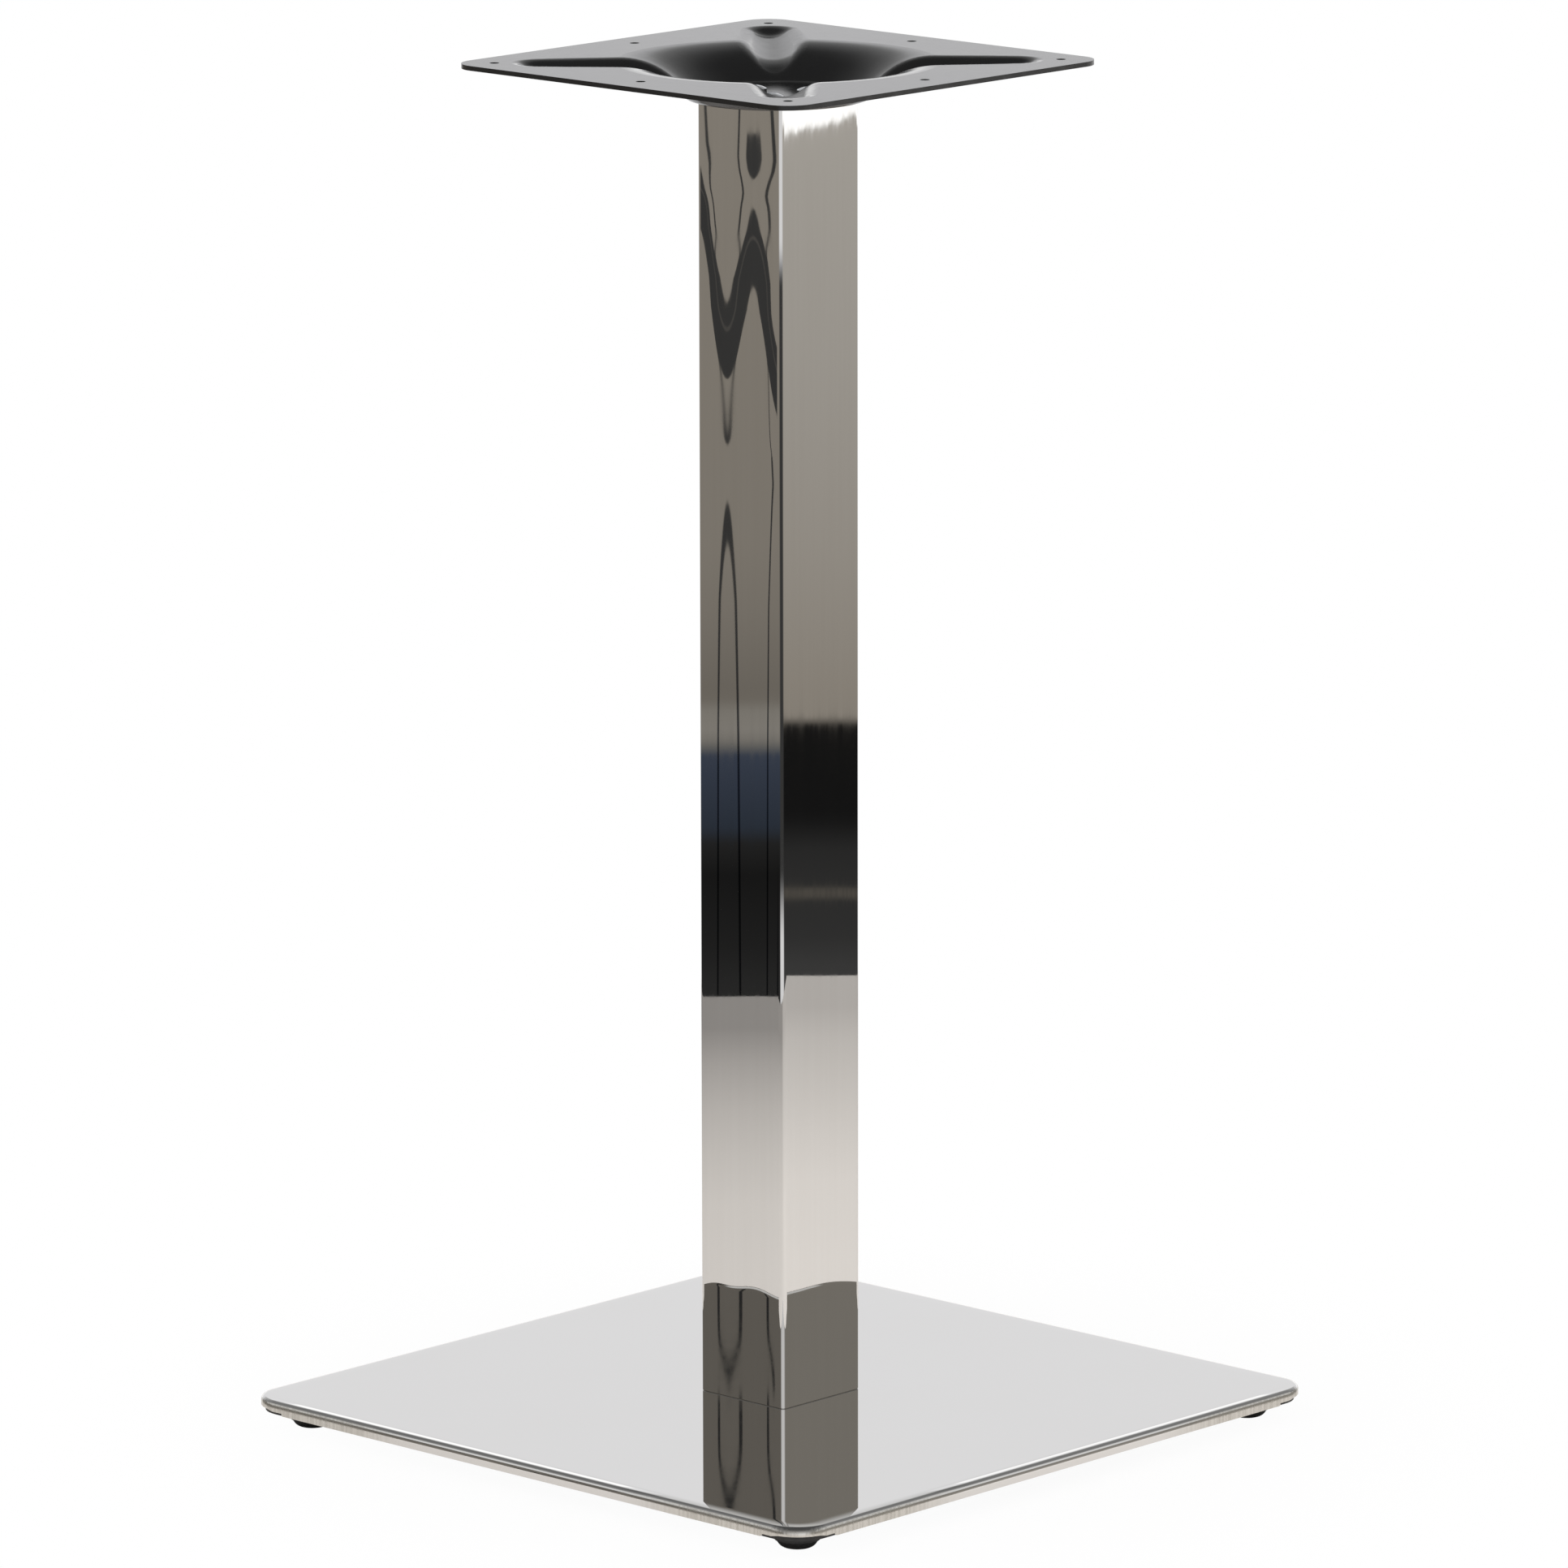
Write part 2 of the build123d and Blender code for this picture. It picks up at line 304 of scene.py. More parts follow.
# %% Backdrop
BACKDROP = (0.915, 0.915, 0.930)
LOW_GLOW = grey(1.25)
DIM_CEILING = grey(0.09)
BACKDROP_TONES = (
    (-13, BACKDROP), (-4, BACKDROP), (-2, LOW_GLOW), (5.4, LOW_GLOW), (6.6, BACKDROP), (16.3, BACKDROP),
    (19, grey(0.68)), (24, grey(0.50)), (30, grey(0.42)), (38, grey(0.30)), (47, grey(0.16)),
    (56, DIM_CEILING))
DARK_FRONT = grey(0.05)
DARK_FRONT_HEIGHTS = (-12.5, -12.1, -9.05, -8.8)
FRONT_EDGE = 0.3

backdrop = by_height(sky, height, BACKDROP_TONES)
in_front = ease(sky, along(sky, direction, on_the_compass(CAMERA_AZIMUTH)), 0.0, FRONT_EDGE)
low_in_front = calc(sky, "MULTIPLY", in_front, between_heights(sky, height, *DARK_FRONT_HEIGHTS))
backdrop = blend_colours(sky, low_in_front, backdrop, (*DARK_FRONT, 1))
print("backdrop tones:", len(BACKDROP_TONES))

# %% [markdown]
# Far to the sides, high up, both walls carry a pale panel, which the walls of the spider's dish pick
# up. Then the backdrop goes over into the walls in a wide soft curve, because a hard corner would show
# in the steel as a line.

# %% Backdrop and walls together
UPPER_WALL = grey(0.85)
UPPER_WALL_EDGE = (0.74, 0.82)
UPPER_WALL_HEIGHTS = (15.5, 19, 60, 70)
BACKDROP_TO_WALL = (0.35, 0.75)

far_aside = ease(sky, aside, *UPPER_WALL_EDGE)
upper = calc(sky, "MULTIPLY", far_aside, between_heights(sky, height, *UPPER_WALL_HEIGHTS))
wall = blend_colours(sky, upper, wall, (*UPPER_WALL, 1))
reflected = blend_colours(sky, ease(sky, aside, *BACKDROP_TO_WALL), backdrop, wall)
print("room painted with", len(sky.nodes), "nodes")

# %% [markdown]
# Dark joints run up the left wall, some wide and some fine. A flat mirror would leave them straight,
# but the column's sheet is slightly wavy and bends them into the loops on its left face. They could be
# drawn on the column, but then they would stay put while the camera walks round. So each joint stands
# where the face mirrors it, and its place is a lean of the face, counted in half degrees.

# %% Wall joints
MIRRORED_ANGLE = math.pi + math.pi / 2 - CAMERA_AZIMUTH
FACING_LEFT = (0.5, 0.6)
WAVE_LEAN = math.radians(0.5)
LEAST_FACING = 0.001
JOINT_EDGE = 0.05

mirrored = Vector((math.cos(MIRRORED_ANGLE), math.sin(MIRRORED_ANGLE), 0))
clockwise = Vector((mirrored.y, -mirrored.x, 0))
facing_left = ease(sky, along(sky, direction, mirrored), *FACING_LEFT)
one_lean = calc(sky, "MULTIPLY", along(sky, direction, mirrored), 2 * WAVE_LEAN)
one_lean = calc(sky, "MAXIMUM", one_lean, LEAST_FACING)
seen_lean = calc(sky, "DIVIDE", along(sky, direction, clockwise), one_lean)


def leaning_joint(tree, half_width, places, slant_degrees, span_degrees):
    """A joint that slants from one place to another between two heights, and shows in a span of four."""
    middle = ease(tree, height, *(sine(degrees) for degrees in slant_degrees), *places)
    off = calc(tree, "ABSOLUTE", calc(tree, "SUBTRACT", seen_lean, middle))
    line = ease(tree, off, half_width + JOINT_EDGE / 2, half_width - JOINT_EDGE / 2)
    return calc(tree, "MULTIPLY", line, between_heights(tree, height, *span_degrees))


print("the left face mirrors", [round(c, 3) for c in mirrored])

# %% [markdown]
# Each joint has a half width and two places, both in leans, the two heights that it slants between,
# and the four heights that its ends fade over, in degrees. The joints are the dark parts of one mask,
# and a glint is a thin paler line in the widest of them.

# %% Joints on the wall
EVERYWHERE = (-30, -29, 60, 61)
JOINTS = (
    (0.765, (0.765, 0.765), (-10, -9), (-30, -29, -8.255, -8.245)),
    (0.10, (0.0, -0.8), (-8.90, -8.74), EVERYWHERE),
    (0.06, (2.94, 1.50), (-9.90, -9.40), (-9.95, -9.93, -6, -5)),
    (0.11, (2.94, 2.94), (-11, -10), (-30, -29, -9.95, -9.93)),
    (0.18, (2.94, 2.00), (14.48, 14.80), (0, 1, 14.82, 14.84)),
    (0.18, (2.94, 2.00), (15.10, 15.50), (14.84, 14.86, 30, 31)),
)
GLINT = (0.05, (0.42, 0.42), (-10, -9), EVERYWHERE)
GLINT_SHARE = 0.15
JOINT_DARK = (0.16, 0.175, 0.20)

joint = leaning_joint(sky, *JOINTS[0])
for settings in JOINTS[1:]:
    joint = calc(sky, "MAXIMUM", joint, leaning_joint(sky, *settings))
joint = calc(sky, "SUBTRACT", joint, calc(sky, "MULTIPLY", leaning_joint(sky, *GLINT), GLINT_SHARE))
darker = blend_colours(sky, 1.0, reflected, (*JOINT_DARK, 1), "MULTIPLY")
reflected = blend_colours(sky, calc(sky, "MULTIPLY", joint, facing_left), reflected, darker)
print("wall joints:", len(JOINTS))

# %% [markdown]
# Three kinds of ray read the world. A camera ray gets pure white, so the object stands on a clean
# page. A mirror ray gets the room. A diffuse ray gets an even soft light, because the shade of a matt
# black part should come from its own shape.

# %% World output
SOFT_LIGHT = grey(0.85)
WHITE = grey(1.0)

ray = add(sky, "ShaderNodeLightPath")
seen = blend_colours(sky, ray.outputs["Is Diffuse Ray"], reflected, (*SOFT_LIGHT, 1))
seen = blend_colours(sky, ray.outputs["Is Camera Ray"], seen, (*WHITE, 1))
paint = add(sky, "ShaderNodeBackground", {"Color": seen, "Strength": 1.0})
add(sky, "ShaderNodeOutputWorld", {"Surface": paint.outputs[0]})
bpy.context.scene.view_settings.view_transform = "Standard"
print("world nodes:", len(sky.nodes))

# %% [markdown]
# ## The floor
# The floor is a round sheet of pale paper. It does two jobs: close to the feet it takes a faint
# shadow, and further out the column mirrors it as the bright zone above its foot. Painted light
# darkens the paper towards its edge, as a painted pool of soft light, and paints its right half paler.
# For the camera it fades away, and its underside is clear, so the part can be looked at from below.

# %% Paper
FADE_START, FADE_END = 0.10, 0.42
LEAST_FADE = 0.95
PAPER_HUE = (0.955, 0.915)
PAPER_SEAM = 0.3
# Painted light: these tones paint a pool of soft light on the paper, darker towards its edge, and paint the
# right half paler.
LEFT_PAPER_PAINTED_LIGHT = ((0.36, 0.645), (0.55, 0.606), (0.665, 0.542), (0.787, 0.46), (0.913, 0.347), (1.0, 0.25))
RIGHT_PAPER_PAINTED_LIGHT = ((0.36, 0.75), (0.55, 0.723), (0.665, 0.66), (0.787, 0.585), (0.913, 0.517), (1.0, 0.44))

paper = bpy.data.materials.new("pale_paper")
paper.use_nodes = True
tree = paper.node_tree
tree.nodes.clear()
spot = add(tree, "ShaderNodeTexCoord").outputs["Object"]
reach = add(tree, "ShaderNodeVectorMath", {0: spot}, operation="LENGTH").outputs["Value"]
left_painted_light, right_painted_light = (
    ramp(tree, reach, [(place, warm(tone, *PAPER_HUE)) for place, tone in painted_light_tones])
    for painted_light_tones in (LEFT_PAPER_PAINTED_LIGHT, RIGHT_PAPER_PAINTED_LIGHT))
# This mask paints the right half of the paper paler, as painted light.
painted_light_right_half = ease(tree, along(tree, spot, -mirrored), -PAPER_SEAM, PAPER_SEAM)
matt = add(tree, "ShaderNodeBsdfDiffuse", {"Color": blend_colours(tree, painted_light_right_half, left_painted_light, right_painted_light)})
clear = add(tree, "ShaderNodeBsdfTransparent")
by_camera = add(tree, "ShaderNodeLightPath").outputs["Is Camera Ray"]
faded = calc(tree, "MULTIPLY", ease(tree, reach, FADE_START, FADE_END, LEAST_FADE, 1.0), by_camera)
faded = calc(tree, "MAXIMUM", faded, add(tree, "ShaderNodeNewGeometry").outputs["Backfacing"])
sheet = add(tree, "ShaderNodeMixShader", {0: faded, 1: matt.outputs[0], 2: clear.outputs[0]})
add(tree, "ShaderNodeOutputMaterial", {"Surface": sheet.outputs[0]})
print("paper nodes:", len(tree.nodes))

# %% [markdown]
# The sheet is a disc, because the column mirrors its far edge, and a round edge looks much the same
# from every side. It lies a hair below the feet, and isn't part of the object.

# %% Floor
FLOOR_RADIUS = 1.0885
FLOOR_SHIFT = 0.0285
FLOOR_DROP = 0.0002
FLOOR_SIDES = 128

shape = bmesh.new()
bmesh.ops.create_circle(shape, cap_ends=True, segments=FLOOR_SIDES, radius=FLOOR_RADIUS)
mesh = bpy.data.meshes.new("floor")
shape.to_mesh(mesh)
shape.free()
floor = bpy.data.objects.new("floor", mesh)
floor.location = -FLOOR_SHIFT * mirrored - Vector((0, 0, FLOOR_DROP))
mesh.materials.append(paper)
bpy.context.scene.collection.objects.link(floor)
print("floor of radius", FLOOR_RADIUS, "m")

# %% [markdown]
# ## Soft lights
# Two large soft panels, high on the left and on the right, light the paper and the black parts. They
# are hidden from mirror rays, because their bright squares would show in the steel. Each has its swing
# from the camera and its rise in degrees, its distance in metres and its power in watts.

# %% Lights
PANELS = {"left_panel": (-55, 52, 2.6, 34), "right_panel": (70, 48, 2.8, 24)}
PANEL_SIDE = 1.6
PANEL_AIM = Vector((0, 0, 0.3))

for name, (swing, rise, distance, power) in PANELS.items():
    panel = bpy.data.lights.new(name, "AREA")
    panel.shape = "SQUARE"
    panel.size = PANEL_SIDE
    panel.energy = power
    hung_panel = bpy.data.objects.new(name, panel)
    hung_panel.location = on_the_compass(CAMERA_AZIMUTH + math.radians(swing), math.radians(rise)) * distance
    hung_panel.rotation_euler = (PANEL_AIM - hung_panel.location).to_track_quat("-Z", "Y").to_euler()
    hung_panel.visible_glossy = False
    hung_panel.visible_camera = False
    bpy.context.scene.collection.objects.link(hung_panel)
print("panels:", list(PANELS))

# %% [markdown]
# ## The start of a finish
# Every finish is one Principled shader, with tones, roughness and bumps that follow noises. A noise
# could be laid on with UVs, but it is simpler to read it by place in metres, with its own scale along
# each axis: fewer blotches along one axis draw them out into lines. Most of a noise lies between 0.3
# and 0.7, so a smooth step between those two uses all of it.

# %% Start of a finish
MOST_NOISE = (0.3, 0.7)


def new_finish(name, **fixed):
    """A material with one Principled shader, whose fixed sockets are set, and its object coordinates."""
    finish = bpy.data.materials.new(name)
    finish.use_nodes = True
    tree = finish.node_tree
    shader = tree.nodes["Principled BSDF"]
    for socket, value in fixed.items():
        shader.inputs[socket].default_value = value
    place = add(tree, "ShaderNodeTexCoord").outputs["Object"]
    return finish, tree, shader, place


def stretched_noise(tree, place, scale, detail=3.0):
    """Noise with its own scale along X, Y and Z, in blotches a metre."""
    spread = add(tree, "ShaderNodeVectorMath", {0: place, 1: scale}, operation="MULTIPLY").outputs[0]
    return add(tree, "ShaderNodeTexNoise", {"Vector": spread, "Scale": 1.0, "Detail": detail}).outputs["Fac"]


def bumped(tree, shader, height, distance):
    """Sends a height through a Bump node to the shader's normal, after any bump already there."""
    links = shader.inputs["Normal"].links
    sockets = {"Height": height, "Distance": distance, "Strength": 1.0}
    if links:
        sockets["Normal"] = links[0].from_socket
    tree.links.new(add(tree, "ShaderNodeBump", sockets).outputs["Normal"], shader.inputs["Normal"])


print("finish helpers ready")

# %% [markdown]
# ## Mirror-polished column
# The column is a stainless steel tube, polished to a mirror. Its faces look flat, but the sheet keeps
# shallow waves from rolling and bending, about a tenth of a millimetre deep, and they bend all that it
# mirrors. They could be a displaced mesh, but a mirror needs only the direction of its face. So the
# waves are slopes, which are added to the face's own direction. Only the flat faces get them: the
# rounded edges of the tube look neither straight ahead nor straight aside, and stay as they are.

# %% Faces of the column
FLAT_FACE = 0.995

column_steel, tree, shader, place = new_finish("polished_column_steel", Metallic=1.0)
xyz = split(tree, place)
surface = add(tree, "ShaderNodeNewGeometry").outputs
facing = split(tree, surface["True Normal"])
front_or_back = calc(tree, "GREATER_THAN", calc(tree, "ABSOLUTE", facing["Y"]), FLAT_FACE)
left_or_right = calc(tree, "GREATER_THAN", calc(tree, "ABSOLUTE", facing["X"]), FLAT_FACE)
COLUMN_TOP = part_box("column_tube")[1].z
print("column top at", round(1000 * COLUMN_TOP, 1), "mm")

# %% [markdown]
# The front and back faces lean to one side by up to four half degrees, and the lean changes along the
# tube. That is what carries the widest joint from one edge of the front face to the other. The leans
# are points on a curve, set where the mirrored joints turn, with straight runs between them.

# %% Lean along the column
LEAN_LOW, LEAN_HIGH = -2.0, 5.0
LEAN_BY_HEIGHT = (
    (0.017, 2.9), (0.230, 2.9), (0.376, 3.06), (0.4447, 3.26), (0.4957, 3.76), (0.510, 3.95),
    (0.5252, 3.77), (0.5365, 3.40), (0.5435, 3.12), (0.5619, 2.23), (0.585, 1.25), (0.5984, 0.70),
    (0.6141, 0.373), (0.6306, -0.38), (0.6408, -0.887), (0.6538, -1.16), (0.6598, -1.40), (0.6669, -1.18),
    (0.672, -0.95), (0.6787, -0.824), (0.6895, -0.90), (0.697, -0.95))

curve = add(tree, "ShaderNodeFloatCurve", {"Value": calc(tree, "DIVIDE", xyz["Z"], COLUMN_TOP)})
points = curve.mapping.curves[0].points
while len(points) < len(LEAN_BY_HEIGHT):
    points.new(0.5, 0.5)
for point, (z, lean) in zip(points, LEAN_BY_HEIGHT):
    point.location = (z / COLUMN_TOP, (lean - LEAN_LOW) / (LEAN_HIGH - LEAN_LOW))
    point.handle_type = "VECTOR"
curve.mapping.update()
sockets = {"Value": curve.outputs[0], "To Min": LEAN_LOW, "To Max": LEAN_HIGH}
lean = add(tree, "ShaderNodeMapRange", sockets).outputs["Result"]
print("lean points:", len(points))

# %% [markdown]
# Across these faces runs a cosine wave, which makes the loops. Near its two edges a face rolls off a
# little more, by an amount that changes near the top. Each roll is given as a stretch across the face,
# a stretch up the column, and the leans at the two ends of that.

# %% Waves across the face
WAVE_LENGTH = 0.039
WAVE_TROUGH = -0.0088
EDGE_ROLLS = (
    ((-0.012, -0.0235), (0.645, 0.685), (0.0, -0.9)),
    ((-0.014, -0.030), (0.645, 0.685), (1.0, 0.0)),
    ((0.012, 0.028), (0.590, 0.665), (-0.6, 0.8)),
)

phase = calc(tree, "MULTIPLY", calc(tree, "SUBTRACT", xyz["X"], WAVE_TROUGH), 2 * math.pi / WAVE_LENGTH)
edge = 0.0
for across_face, up_column, leans in EDGE_ROLLS:
    share = ease(tree, xyz["X"], *across_face)
    edge = calc(tree, "MULTIPLY_ADD", share, ease(tree, xyz["Z"], *up_column, *leans), edge)
slope = calc(tree, "ADD", calc(tree, "SUBTRACT", lean, calc(tree, "COSINE", phase)), edge)
sideways_slope = calc(tree, "MULTIPLY", calc(tree, "MULTIPLY", slope, front_or_back), -WAVE_LEAN)
print("edge rolls:", len(EDGE_ROLLS))

# %% [markdown]
# The right and left faces are flatter, and only twist up and down towards their top. There the right
# one mirrors the bright strip of its wall as a patch with a slanting edge, which is ragged because a
# noise shifts the place where the twist is read. Both slopes are then added to the direction of the
# face, and the sum goes to the shader.

# %% Turn the faces
TWIST = 0.0221
TWIST_HEIGHTS = (0.60, 0.68)
WOBBLE = 0.05
WOBBLE_SCALE = (140, 140, 12)

uneven = calc(tree, "SUBTRACT", stretched_noise(tree, place, WOBBLE_SCALE), 0.5)
shifted = calc(tree, "ADD", xyz["Y"], calc(tree, "MULTIPLY", uneven, WOBBLE))
twist_here = calc(tree, "MULTIPLY", left_or_right, ease(tree, xyz["Z"], *TWIST_HEIGHTS, 0, -TWIST))
upward_slope = calc(tree, "MULTIPLY", shifted, twist_here)
turned = add(tree, "ShaderNodeCombineXYZ", {"X": sideways_slope, "Z": upward_slope}).outputs[0]
turned = add(tree, "ShaderNodeVectorMath", {0: surface["Normal"], 1: turned}, operation="ADD").outputs[0]
turned = add(tree, "ShaderNodeVectorMath", {0: turned}, operation="NORMALIZE").outputs[0]
tree.links.new(turned, shader.inputs["Normal"])
print("column steel nodes so far:", len(tree.nodes))

# %% [markdown]
# Close up the polish isn't perfect. A slow ripple, strongest near the foot, makes the mirrored edges
# uneven, and the buffing wheel leaves hair-fine lines along the tube. Both are so shallow that a Bump
# node can carry them. The same buffing moves the roughness and the tone of the metal a little.

# %% Buffing of the column
STEEL = (0.690, 0.682, 0.668)
BUFFED_STEEL = (0.680, 0.671, 0.656)
RIPPLE_SCALE, RIPPLE_BUMP = (28, 28, 6), 0.00004
RIPPLE_HEIGHTS, LEAST_RIPPLE = (0.30, 0.10), 0.2
HAIRLINE_SCALE, HAIRLINE_BUMP = (2600, 2600, 14), 0.00000005
BUFFING_SCALE = (340, 340, 7)
COLUMN_ROUGHNESS = (0.010, 0.018)

near_the_foot = ease(tree, xyz["Z"], *RIPPLE_HEIGHTS, LEAST_RIPPLE, 1.0)
ripple = calc(tree, "MULTIPLY", stretched_noise(tree, place, RIPPLE_SCALE, 1.0), near_the_foot)
bumped(tree, shader, ripple, RIPPLE_BUMP)
bumped(tree, shader, stretched_noise(tree, place, HAIRLINE_SCALE, 2.0), HAIRLINE_BUMP)
buffed = stretched_noise(tree, place, BUFFING_SCALE)
tree.links.new(ease(tree, buffed, *MOST_NOISE, *COLUMN_ROUGHNESS), shader.inputs["Roughness"])
tone = blend_colours(tree, ease(tree, buffed, *MOST_NOISE), (*STEEL, 1), (*BUFFED_STEEL, 1))
tree.links.new(tone, shader.inputs["Base Color"])
print("column steel nodes:", len(tree.nodes))

# %% [markdown]
# ## Polished tray
# The tray is the same steel. Its look comes from its folded edge, so the first thing to know is how
# far a spot lies from that edge. Along a side that is a plain difference, and in a corner it is a
# difference of radii. One formula gives both.

# %% Way to the edge of the tray
TRAY_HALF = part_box("base_cover")[1].x
TRAY_CORNER = 0.020

tray_steel, tree, shader, place = new_finish("polished_tray_steel", Metallic=1.0)
xyz = split(tree, place)
across = [calc(tree, "ABSOLUTE", xyz[axis]) for axis in ("X", "Y")]
past = [calc(tree, "MAXIMUM", calc(tree, "SUBTRACT", side, TRAY_HALF - TRAY_CORNER), 0.0) for side in across]
squares = [calc(tree, "POWER", side, 2.0) for side in past]
from_the_centre = calc(tree, "SQRT", calc(tree, "ADD", *squares))
to_the_edge = calc(tree, "SUBTRACT", TRAY_CORNER, from_the_centre)
print("half of the tray is", round(1000 * TRAY_HALF, 1), "mm")

# %% [markdown]
# The sheet is a little rounder at the fold than the solid is. It droops slowly just before the edge
# and turns over at the fold, and the rim leans in below it. On the two front sides a shallow lip runs
# beside the fold and mirrors the low glow as a light line. These bends are fractions of a millimetre,
# so they are heights for a Bump node. Each has a start and a radius in metres: on the top the start is
# measured in from the edge, on the rim up from the floor. The lip fades in from the side corners and
# out again before the front one.

# %% Bends of the tray
TOP_BENDS = ((0.010, 0.19), (0.0026, 0.0035))
LIP_BENDS = ((0.0056, -0.0045), (0.0049, 0.0045))
RIM_BEND = (0.0125, 0.0062)
LIP_REACH = (0.0, 0.04, 0.27, 0.30)


def bend(tree, way, start, radius):
    """The height of a sheet that bends away from its plane once it is past the start."""
    past_it = calc(tree, "MAXIMUM", calc(tree, "SUBTRACT", way, start), 0.0)
    return calc(tree, "MULTIPLY", calc(tree, "MULTIPLY", past_it, past_it), -0.5 / radius)


outwards = calc(tree, "MULTIPLY", to_the_edge, -1.0)
roll = bend(tree, xyz["Z"], *RIM_BEND)
for start, radius in TOP_BENDS:
    roll = calc(tree, "ADD", roll, bend(tree, outwards, -start, radius))
to_the_front = calc(tree, "SUBTRACT", xyz["X"], xyz["Y"])
lipped = between(tree, to_the_front, *LIP_REACH)
for start, radius in LIP_BENDS:
    roll = calc(tree, "MULTIPLY_ADD", lipped, bend(tree, outwards, -start, radius), roll)
bumped(tree, shader, roll, 1.0)
print("bends of the tray:", 1 + len(TOP_BENDS) + len(LIP_BENDS))

# %% [markdown]
# The top is polished, and so is the rim along the middle of each side. Towards the corners the wheel
# can't follow the fold, and the rim stays brushed: satin, with faint streaks. The face's own direction
# tells the top from the rim, and the lesser of the two ways across tells how near a corner is.

# %% Where the tray is brushed
RIM_FACING = (0.75, 0.25)
BRUSHED_REACH = (0.070, 0.130)

up = split(tree, add(tree, "ShaderNodeNewGeometry").outputs["Normal"])["Z"]
on_the_rim = ease(tree, up, *RIM_FACING)
near_corner = ease(tree, calc(tree, "MINIMUM", *across), *BRUSHED_REACH)
near_corner = calc(tree, "MULTIPLY", on_the_rim, near_corner)
print("rim brushed from", BRUSHED_REACH, "m off the middle of each side")

# %% [markdown]
# The polished part gets a faint dent here and there and a tone that clouds slightly. The brushed part
# gets a noise drawn out down the rim, which moves its bump, its roughness and its tone together, as
# real brush marks do. A Mix node's sockets for plain numbers are picked by number, as for colours.

# %% Polish and brushing of the tray
FIRST_NUMBER, SECOND_NUMBER = 2, 3
DENT_SCALE, DENT_BUMP = (9, 9, 9), 0.00002
BRUSH_SCALE, BRUSH_BUMP = (520, 520, 18), 0.000006
MIRROR_SCALE, MIRROR_ROUGHNESS = (60, 60, 60), (0.015, 0.025)
SATIN_ROUGHNESS = (0.20, 0.30)
STREAK_NOISE = (0.35, 0.65)
PALE_STREAK, DARK_STREAK = (0.62, 0.605, 0.57), (0.52, 0.505, 0.47)
CLOUD_SCALE, CLOUDED_STEEL = (14, 14, 14), (0.70, 0.695, 0.685)

bumped(tree, shader, stretched_noise(tree, place, DENT_SCALE, 1.0), DENT_BUMP)
brushing = stretched_noise(tree, place, BRUSH_SCALE)
bumped(tree, shader, calc(tree, "MULTIPLY", brushing, near_corner), BRUSH_BUMP)
mirror = ease(tree, stretched_noise(tree, place, MIRROR_SCALE), *MOST_NOISE, *MIRROR_ROUGHNESS)
satin = ease(tree, brushing, *MOST_NOISE, *SATIN_ROUGHNESS)
rough = add(tree, "ShaderNodeMix", {0: near_corner, FIRST_NUMBER: mirror, SECOND_NUMBER: satin}).outputs[0]
tree.links.new(rough, shader.inputs["Roughness"])
streaks = blend_colours(tree, ease(tree, brushing, *STREAK_NOISE), (*PALE_STREAK, 1), (*DARK_STREAK, 1))
cloud = blend_colours(tree, stretched_noise(tree, place, CLOUD_SCALE), (*STEEL, 1), (*CLOUDED_STEEL, 1))
tree.links.new(blend_colours(tree, near_corner, cloud, streaks), shader.inputs["Base Color"])
print("tray steel nodes:", len(tree.nodes))

# %% [markdown]
# ## Black powder coat
# The spider is sprayed with black powder and baked. The film flows into a fine orange-peel skin, which
# breaks up its sheen. A black base with a low roughness gives the sheen, and a noise of about a
# millimetre the skin. A finer noise specks the black.

# %% Powder coat
PEEL_SCALE, PEEL_BUMP = (900, 900, 900), 0.000004
SPECK_SCALE = (2600, 2600, 2600)
BLACK_POWDER, GREY_POWDER = (0.0050, 0.0050, 0.0052), (0.0090, 0.0090, 0.0090)
SHEEN_SCALE, POWDER_ROUGHNESS = (120, 120, 120), (0.11, 0.15)

powder_coat, tree, shader, place = new_finish("black_powder_coat", IOR=1.5)
bumped(tree, shader, stretched_noise(tree, place, PEEL_SCALE, 2.0), PEEL_BUMP)
speck = stretched_noise(tree, place, SPECK_SCALE, 1.0)
tone = blend_colours(tree, speck, (*BLACK_POWDER, 1), (*GREY_POWDER, 1))
tree.links.new(tone, shader.inputs["Base Color"])
rough = ease(tree, stretched_noise(tree, place, SHEEN_SCALE), *MOST_NOISE, *POWDER_ROUGHNESS)
tree.links.new(rough, shader.inputs["Roughness"])
print("powder coat nodes:", len(tree.nodes))

# %% [markdown]
# ## The plainer finishes
# Four finishes share one recipe: two tones mixed by a noise, a roughness that follows a finer noise,
# and a small bump. The ballast plate has matt black paint, the screws and studs bright zinc, the
# plates inside the column are bare steel, and the foot pads are moulded black plastic.

# %% Plain finishes
FINER = 4


def plain_finish(name, tones, roughness, grain, bump, **fixed):
    """A finish of two tones, with a grain in blotches a metre and a bump in metres."""
    finish, tree, shader, place = new_finish(name, **fixed)
    mottle = ease(tree, stretched_noise(tree, place, grain), *MOST_NOISE)
    tone = blend_colours(tree, mottle, (*tones[0], 1), (*tones[1], 1))
    tree.links.new(tone, shader.inputs["Base Color"])
    fine = stretched_noise(tree, place, tuple(FINER * scale for scale in grain))
    tree.links.new(ease(tree, fine, *MOST_NOISE, *roughness), shader.inputs["Roughness"])
    bumped(tree, shader, fine, bump)
    return finish


